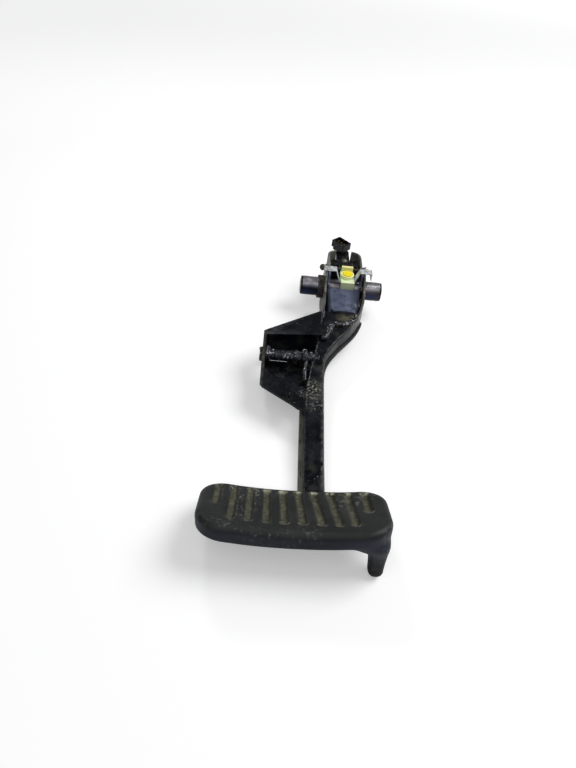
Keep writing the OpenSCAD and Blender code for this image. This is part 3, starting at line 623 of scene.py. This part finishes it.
# %% [markdown]
# The boot is the piece that most makes the pedal. It is a rounded rectangle in plan, carried
# along a profile: flat over the face, a quarter circle at the rolled edge, down the wall, in
# under the rim and up into the open back. Two formulas then bend it, the dish of the face and
# the grooves. Each ring of points is worked out as a whole array.

# %% Boot: sizes, in millimetres, in the pad's own frame
PAD_W, PAD_H, CORNER = 117.5, 54.0, 17.0
PAD_MID = np.array([-39.75, -253.6, 2.5])
TILT, LEAN = np.radians([-24.0, -2.75])
RIM, ROLL_R = 11.0, 4.6
RISE_LEFT, RISE_RIGHT = 5.0, 4.3
GROOVES, PITCH, GROOVE_W, GROOVE_D = 10, 10.4, 4.6, 2.2
GROOVE_SHIFT, GROOVE_TOP, GROOVE_END = -1.3, 20.0, -14.5
SLANT = np.array([0, 0, 0, 0.4, 1.2, 2.0, 3.4, 3.0, 1.8, 0.8])
SLANT_FROM, SLANT_OVER = 6, 30
GROOVE_LIP, GROOVE_SLOPE = 0.55, 1.3

about_x = np.array([[1, 0, 0], [0, np.cos(TILT), -np.sin(TILT)], [0, np.sin(TILT), np.cos(TILT)]])
about_y = np.array([[np.cos(LEAN), 0, np.sin(LEAN)], [0, 1, 0], [-np.sin(LEAN), 0, np.cos(LEAN)]])
TURN_PAD = about_y @ about_x


def on_pad(points):
    """From the pad's frame to the pedal's: turned about X by the tilt and about Y by the lean,
    then moved to the pad's middle, in metres."""
    return (points @ TURN_PAD.T + PAD_MID) * MM


def off_pad(points):
    """The way back: from metres in the pedal's frame to millimetres in the pad's."""
    return (points / MM - PAD_MID) @ TURN_PAD


def dish(x):
    """Rise of the face: a square law to the left end, a cube law to the right one."""
    t = 2 * x / PAD_W
    return np.where(x > 0, RISE_RIGHT * np.abs(t) ** 3, RISE_LEFT * t ** 2)


def from_groove(x, y):
    """Distance to the nearest groove's edge, negative inside it, and how far past that groove's
    end the point lies along y. A groove is a straight slot that leans by its slant."""
    i = np.arange(GROOVES)
    lean = SLANT * (SLANT_FROM - y[..., None]) / SLANT_OVER
    middle = (i - (GROOVES - 1) / 2) * PITCH + GROOVE_SHIFT + lean
    end = np.where((i == 0) | (i == GROOVES - 1), 0.0, GROOVE_END)
    beyond = np.maximum(np.maximum(end - y[..., None], y[..., None] - GROOVE_TOP), 0)
    away = np.hypot(x[..., None] - middle, beyond)
    nearest = away.argmin(-1)[..., None]
    to_middle = np.take_along_axis(away, nearest, -1)[..., 0]
    return to_middle - GROOVE_W / 2, np.take_along_axis(beyond, nearest, -1)[..., 0]


def groove_depth(x, y):
    """1 at the floor of a groove, 0 on the ribs, and t t (3 - 2 t) on the slope between them."""
    t = np.clip((GROOVE_LIP - from_groove(x, y)[0]) / GROOVE_SLOPE, 0, 1)
    return t * t * (3 - 2 * t)


def outline(w, h, r, straight=150, corner=18, upright=26):
    """A rounded rectangle of half sizes w and h and corner radius r: from the right end over the
    top to the left end, then the same mirrored below."""
    turn = np.linspace(0, np.pi / 2, corner)
    run = np.linspace(1, -1, straight)[1:-1]
    x = np.concatenate([w - r + r * np.cos(turn), (w - r) * run, -w + r - r * np.sin(turn)])
    y = np.concatenate([h - r + r * np.sin(turn), np.full(run.shape, h), h - r + r * np.cos(turn)])
    side = np.linspace(0, h - r, upright)[1:-1]
    x = np.concatenate([np.full(side.shape, w), x, np.full(side.shape, -w)])
    y = np.concatenate([side, y, side[::-1]])
    return np.stack([np.concatenate([x, x[::-1]]), np.concatenate([y, -y[::-1]])], 1)


def closed_skin(name, rings, seam=True):
    """Joins rings of equal count with quads. The end rings close by a seam, which joins mirrored
    points, or by a pole, which joins the points to their mean."""
    m, n = rings.shape[:2]
    k, i = np.meshgrid(np.arange(m - 1), np.arange(n), indexing="ij")
    j = (i + 1) % n
    faces = np.stack([k * n + i, (k + 1) * n + i, (k + 1) * n + j, k * n + j], -1).reshape(-1, 4).tolist()
    points = rings.reshape(-1, 3)
    if seam:
        i = np.arange(n // 2 - 1)
        last = (m - 1) * n
        faces += np.stack([i, i + 1, n - 2 - i, n - 1 - i], 1).tolist()
        faces += np.stack([last + n - 1 - i, last + n - 2 - i, last + i + 1, last + i], 1).tolist()
    else:
        points = np.concatenate([points, rings[:1].mean(1), rings[-1:].mean(1)])
        i = np.arange(n)
        faces += np.stack([np.full(n, m * n), i, (i + 1) % n], 1).tolist()
        faces += np.stack([np.full(n, m * n + 1), (m - 1) * n + (i + 1) % n, (m - 1) * n + i], 1).tolist()
    mesh = bpy.data.meshes.new(name)
    mesh.from_pydata(points.tolist(), [], faces)
    skin = bmesh.new()
    skin.from_mesh(mesh)
    bmesh.ops.remove_doubles(skin, verts=skin.verts, dist=1e-7)
    bmesh.ops.recalc_face_normals(skin, faces=skin.faces)
    skin.to_mesh(mesh)
    skin.free()
    return mesh


print("pad", PAD_W, "by", PAD_H, "mm with", GROOVES, "grooves")

# %% [markdown]
# The rings start in the middle of the face, as long thin outlines, and grow to the rolled edge.
# They go down the wall and in under the rim, and then change little by little into the smaller
# outline of the open back, whose floor closes the skin.

# %% Boot: the rings, from the middle of the face round to the middle of the open back
BACK_OUTLINE = (41.75, 19.0, 2.0)
BACK_SHIFT, BACK_FLOOR = 5.0, -5.6
BACK_STEPS = ((0.35, -RIM), (0.98, -RIM + 0.3), (1.0, -RIM + 1.0), (1.0, -7.4), (1.0, BACK_FLOOR))
FLOOR_OUTLINES = ((30.0, 12.0), (26.0, 0.05))
LEAST_CORNER = 0.02
DRAFT, RIM_R, RIM_INSET = 0.06, 1.3, 0.3
ON_FACE_Z, DISHED_BELOW_Z = -0.5, -8
inner = PAD_H / 2 - 0.05
quarter = np.linspace(0, np.pi / 2, 12)
profile = ([(d, 0.0) for d in np.linspace(inner, ROLL_R, 46)]
           + [(ROLL_R * (1 - np.sin(q)), -ROLL_R * (1 - np.cos(q))) for q in quarter[1:]]
           + [(DRAFT * s, -ROLL_R - s) for s in np.linspace(0.6, RIM - ROLL_R - 1.4, 8)]
           + [(RIM_INSET + RIM_R * (1 - np.cos(q)), -RIM + RIM_R * (1 - np.sin(q))) for q in quarter[1::3]])
rings = []
for inset, height in profile:
    edge = outline(PAD_W / 2 - inset, PAD_H / 2 - inset, max(CORNER - inset, LEAST_CORNER))
    z = height + dish(edge[:, 0])
    z = z - GROOVE_D * groove_depth(edge[:, 0], edge[:, 1]) * (height > ON_FACE_Z)
    rings.append(np.column_stack([edge, z]))
back = outline(*BACK_OUTLINE)
back[:, 0] -= BACK_SHIFT
for share, height in BACK_STEPS:
    edge = rings[len(profile) - 1][:, :2] * (1 - share) + back * share
    z = height + dish(edge[:, 0]) * (height < DISHED_BELOW_Z)
    rings.append(np.column_stack([edge, z]))
for w, h in FLOOR_OUTLINES:
    edge = outline(w, h, LEAST_CORNER)
    rings.append(np.column_stack([edge[:, 0] - BACK_SHIFT, edge[:, 1], np.full(len(edge), BACK_FLOOR)]))
boot_body = closed_skin("boot_body", on_pad(np.array(rings)))
print("boot body", len(boot_body.vertices), "points on", len(rings), "rings")

# %% [markdown]
# Below the right end the steel plate turns down into a tongue, and the boot runs down over it
# like a finger of a glove. That finger is a loft: at each height it has a left, right, front and
# rear bound, eased between a few chosen heights, and its section is a rounded square.

# %% Boot: the finger over the tongue
HEIGHT = [-3.0, -7.0, -9.5, -11.5, -13.5, -16.0, -19.0, -24.0, -31.8]
LEFT = [30.0, 24.0, 27.0, 32.5, 38.0, 42.5, 45.2, 46.2, 46.5]
RIGHT = [54.0, 57.6, 58.2, 58.2, 58.0, 57.6, 57.2, 56.7, 56.0]
FRONT = [-22.0, -25.5, -26.2, -25.6, -24.2, -22.0, -19.8, -17.6, -15.6]
REAR = [4.0, 4.0, 3.0, 1.5, 0.2, -1.2, -2.6, -4.2, -5.4]
TIP = 4.9
MEAN_OF = 9
SQUARENESS = 2.7

down = np.linspace(HEIGHT[0], HEIGHT[-1], 70)
round_tip = HEIGHT[-1] - TIP * np.sin(np.linspace(0, np.pi / 2, 12))[1:]
levels = np.concatenate([down, round_tip])
past_end = np.clip(HEIGHT[-1] - levels, 0, None) / TIP
shrink = np.sqrt(np.clip(1 - past_end ** 2, 0.0004, 1))


def bound(values):
    """A bound at every level: interpolated between the chosen heights, then eased by a running mean."""
    line = np.interp(-levels, -np.array(HEIGHT), values)
    padded = np.pad(line, MEAN_OF // 2, mode="edge")
    return np.convolve(padded, np.ones(MEAN_OF) / MEAN_OF, "valid")


left, right_side, front, rear = (bound(v) for v in (LEFT, RIGHT, FRONT, REAR))
angle = np.linspace(0, 2 * np.pi, 72, endpoint=False)
power = 2 / SQUARENESS
square_x = np.sign(np.cos(angle)) * np.abs(np.cos(angle)) ** power
square_y = np.sign(np.sin(angle)) * np.abs(np.sin(angle)) ** power
wide, deep = (right_side - left) / 2 * shrink, (rear - front) / 2 * shrink
finger = np.stack([(left + right_side)[:, None] / 2 + wide[:, None] * square_x,
                   (front + rear)[:, None] / 2 + deep[:, None] * square_y,
                   np.broadcast_to(levels[:, None], (len(levels), len(angle)))], -1)
boot_finger = closed_skin("boot_finger", on_pad(finger), seam=False)
print("finger", len(boot_finger.vertices), "points, down to", round(levels[-1], 1), "mm")

# %% [markdown]
# A moulding has no seam between its forms. The two skins become one by a voxel remesh, which
# keeps their outside only, and then the crease between them is relaxed, most of all near the
# root of the finger. Three attributes are stored on the result: groove for the dust, wall for
# the painted sheen and fewer scuffs, and lip for the pale groove ends.

# %% Boot: one moulded skin
BOOT_VOXEL_MM = 0.6
ROOT_MM, ROOT_SPREAD_MM = [44.0, -17.0, -11.5], [19.0, 13.0, 7.5]
DUSTLESS_MM, DUSTLESS_SPREAD_MM, DUSTLESS_SHARE = [-44.6, -8.0], [2.0, 6.0], 0.95
WALL_FROM, WALL_OVER = 2.6, 2.4
LIP_MIDDLE, LIP_SPREAD, LIP_REACH = 0.1, 0.7, 1.4
LIP_FADE_X, LIP_LEAST = 45, 0.35

boot_mesh = one_skin("pad_boot", [boot_body, boot_finger], BOOT_VOXEL_MM)


def at_root(p):
    """1 at the finger's root and falling off around it as exp(-d d)."""
    return np.exp(-(((off_pad(p) - ROOT_MM) / ROOT_SPREAD_MM) ** 2).sum(1))


relaxed(boot_mesh, 120, 0.6, 0.3, at_root)
points = relaxed(boot_mesh, 3, 0.5, 0.48)

local = off_pad(points)
on_face = (local[:, 2] > dish(local[:, 0]) - GROOVE_D - 1.0)
groove = groove_depth(local[:, 0], local[:, 1]) * on_face
# Round one spot near the left end the grooves get no dust, so the rubber there stays dark.
dustless = np.exp(-(((local[:, :2] - DUSTLESS_MM) / DUSTLESS_SPREAD_MM) ** 2).sum(1))
groove *= 1 - DUSTLESS_SHARE * dustless
wall = np.clip((-(local[:, 2] - dish(local[:, 0])) - WALL_FROM) / WALL_OVER, 0, 1)
edge, past = from_groove(local[:, 0], local[:, 1])
to_right = np.clip((local[:, 0] + LIP_FADE_X) / LIP_FADE_X, LIP_LEAST, 1)
lip = np.exp(-((edge - LIP_MIDDLE) / LIP_SPREAD) ** 2) * np.clip(past / LIP_REACH, 0, 1) * on_face * to_right
for name, value in (("groove", groove), ("wall", wall), ("lip", lip)):
    boot_mesh.attributes.new(name, "FLOAT", "POINT").data.foreach_set("value", value.astype(np.float32))
boot_mesh.materials.append(rubber)
adopt(bpy.data.objects.new("pad_boot", boot_mesh), "pad_rubber")
span = (points.min(0) / MM).round(1), (points.max(0) / MM).round(1)
print("boot", len(boot_mesh.polygons), "faces, spans", *span)

# %% [markdown]
# A hand-held welder's bead is a half-round string with ripples, laid over the joint. Each bead
# here is a circle carried along a path of a few points, with a radius that swells from ripple
# to ripple, and with the ends drawn in so that it closes.

# %% Weld beads
RIPPLE_MM, RIPPLE_SHARE = 1.7, 0.16
SWELL_MM, SWELL_SHARE = 2.3, 0.12
WANDER_OVER_MM = 3.1
STEP_MM = 0.35
MEAN_OF_BEAD = 13
LOW_BEAD = 0.8
rng = np.random.default_rng(5)


def bead(path_mm, radius_mm, wander_mm=0.3):
    """Rings of a bead: centres spaced evenly along the path and eased by a running mean, and a
    radius of 1 + ripples + a slow random swell, drawn in to a round at both ends."""
    path = np.array(path_mm, float)
    step = np.linalg.norm(np.diff(path, axis=0), axis=1)
    at = np.concatenate([[0], np.cumsum(step)])
    count = max(int(at[-1] / STEP_MM), 8)
    s = np.linspace(0, at[-1], count)
    centre = np.stack([np.interp(s, at, path[:, c]) for c in range(3)], 1)
    padded = np.pad(centre, ((MEAN_OF_BEAD // 2, MEAN_OF_BEAD // 2), (0, 0)), mode="edge")
    even = np.ones(MEAN_OF_BEAD) / MEAN_OF_BEAD
    smooth = np.stack([np.convolve(padded[:, c], even, "valid") for c in range(3)], 1)
    smooth += wander_mm * np.sin(s[:, None] / WANDER_OVER_MM + rng.uniform(0, 6, 3))
    ahead = np.gradient(smooth, axis=0)
    ahead /= np.linalg.norm(ahead, axis=1)[:, None]
    side = np.cross(ahead, [0, 0, 1.0])
    side /= np.linalg.norm(side, axis=1)[:, None]
    top = np.cross(side, ahead)
    swell = 1 + RIPPLE_SHARE * np.abs(np.sin(np.pi * s / RIPPLE_MM))
    swell = swell + SWELL_SHARE * np.sin(s / SWELL_MM + rng.uniform(0, 6))
    from_end = np.clip(1 - np.minimum(s, at[-1] - s) / radius_mm, 0, 1)
    ends = np.sqrt(np.clip(1 - from_end ** 2, 0.01, 1))
    r = radius_mm * swell * ends
    a = np.linspace(0, 2 * np.pi, 20, endpoint=False)
    around = np.cos(a)[None, :, None] * side[:, None] + LOW_BEAD * np.sin(a)[None, :, None] * top[:, None]
    return (smooth[:, None] + r[:, None, None] * around) * MM


SEAM = {
    "weld_web_side": ([(-21, -84.5, 6.6), (-17, -85.5, 6.6), (-13.5, -76, 7.2), (-10, -66.5, 7.4)], 2.6),
    "weld_web_end": ([(-10, -66.5, 7.4), (-3, -65.3, 7.2), (4, -64, 7.2), (9.5, -57, 7.2),
                      (10.5, -50, 7.0)], 2.1),
    "weld_bracket_arm": ([(-32.4, -108, 0.4), (-32.6, -118, -1.2), (-32.8, -130, -3.4)], 1.5),
    "weld_pin_arm": ([(-33.4, -110.0, -1.0), (-33.4, -108.5, 2.6), (-33.4, -104, 4.6),
                      (-33.4, -99.6, 2.6), (-33.4, -98.4, -1)], 2.3),
    "weld_pin_inside": ([(-63.6, -110.2, -1.0), (-63.6, -108.4, 3.0), (-63.6, -104, 4.8),
                         (-63.6, -99.6, 3.0), (-63.6, -98.2, -1)], 2.0),
    "weld_pin_wall": ([(-67.6, -99.2, -2.0), (-67.6, -100.5, 2.2), (-67.6, -104, 4.0),
                       (-67.6, -107.6, 2.2), (-67.6, -108.9, -1.5), (-67.6, -107.4, -5.0),
                       (-67.6, -104, -6.0), (-67.6, -100.4, -4.8)], 1.3),
}
for name, (path, radius) in SEAM.items():
    mesh = closed_skin(name, bead(path, radius), seam=False)
    for face in mesh.polygons:
        face.use_smooth = True
    mesh.materials.append(pin_finish)
    piece = adopt(bpy.data.objects.new(name, mesh), body="pedal")
    print(name, len(mesh.polygons), "faces")

# %% [markdown]
# The floor is a plain white sheet. It is a diffuse surface, so it keeps the soft shadow, and
# to the camera it gets a little light of its own, which takes it from pale grey to the white of
# a studio, and more of it where the lamps no longer reach.

# %% Floor
FLOOR_Z = cad_box[0][2]
FLOOR_HALF_M = 8
GLOW_NEAR, GLOW_FAR = 0.32, 1.0
GLOW_MM = (500, 2500)
sides = ((-1, -1), (1, -1), (1, 1), (-1, 1))
square = [(FLOOR_HALF_M * x, FLOOR_HALF_M * y, FLOOR_Z) for x, y in sides]
floor_mesh = bpy.data.meshes.new("floor")
floor_mesh.from_pydata(square, [], [(0, 1, 2, 3)])
floor = bpy.data.objects.new("floor", floor_mesh)
bpy.context.scene.collection.objects.link(floor)
paper, tree, shader = material("white_paper_sheet", Roughness=1.0, Specular_IOR_Level=0.0)
shader.inputs["Base Color"].default_value = linear("#e2e2e2")
seen = add(tree, "LightPath").outputs["Is Camera Ray"]
by_distance = spread(tree, near(tree, (0, 0, 0), *GLOW_MM), GLOW_FAR, GLOW_NEAR)
glow = both(tree, seen, by_distance)
shader.inputs["Emission Color"].default_value = (1, 1, 1, 1)
tree.links.new(glow, shader.inputs["Emission Strength"])
floor_mesh.materials.append(paper)
print("floor at", round(FLOOR_Z / MM, 1), "mm")

# %% [markdown]
# A soft lamp stands to the right, and a larger and weaker one above the viewer's shoulder, so
# the shadows fall to the left and stay soft. A small weak lamp behind the pedal draws the glints on
# wet-looking paint. An even sky fills the shadows: it is dim to the pedal and white to the
# camera.

# %% Lamps and sky
LAMPS = {"key": ((0.8, 0.12, 1.15), 0.85, 15.5), "fill": ((-0.4, -1.0, 1.3), 1.4, 6.5),
         "glint": ((-0.35, 0.55, 0.7), 0.16, 1.6)}
AIM = np.array([-0.02, -0.12, 0.0])
SKY_DIM, SKY_SEEN = 0.18, 1.0
for name, (place, size, power_w) in LAMPS.items():
    lamp = bpy.data.lights.new(name, "AREA")
    lamp.size = size
    lamp.energy = power_w
    holder = bpy.data.objects.new(name, lamp)
    holder.location = place
    holder.rotation_euler = Vector(AIM - np.array(place)).to_track_quat("-Z", "Y").to_euler()
    bpy.context.scene.collection.objects.link(holder)
sky = bpy.data.worlds.new("sky")
bpy.context.scene.world = sky
sky.use_nodes = True
tree = sky.node_tree
background = tree.nodes["Background"]
background.inputs["Color"].default_value = linear("#fcfdff")
seen = add(tree, "LightPath").outputs["Is Camera Ray"]
tree.links.new(spread(tree, seen, SKY_DIM, SKY_SEEN), background.inputs["Strength"])
print("lamps:", *LAMPS)
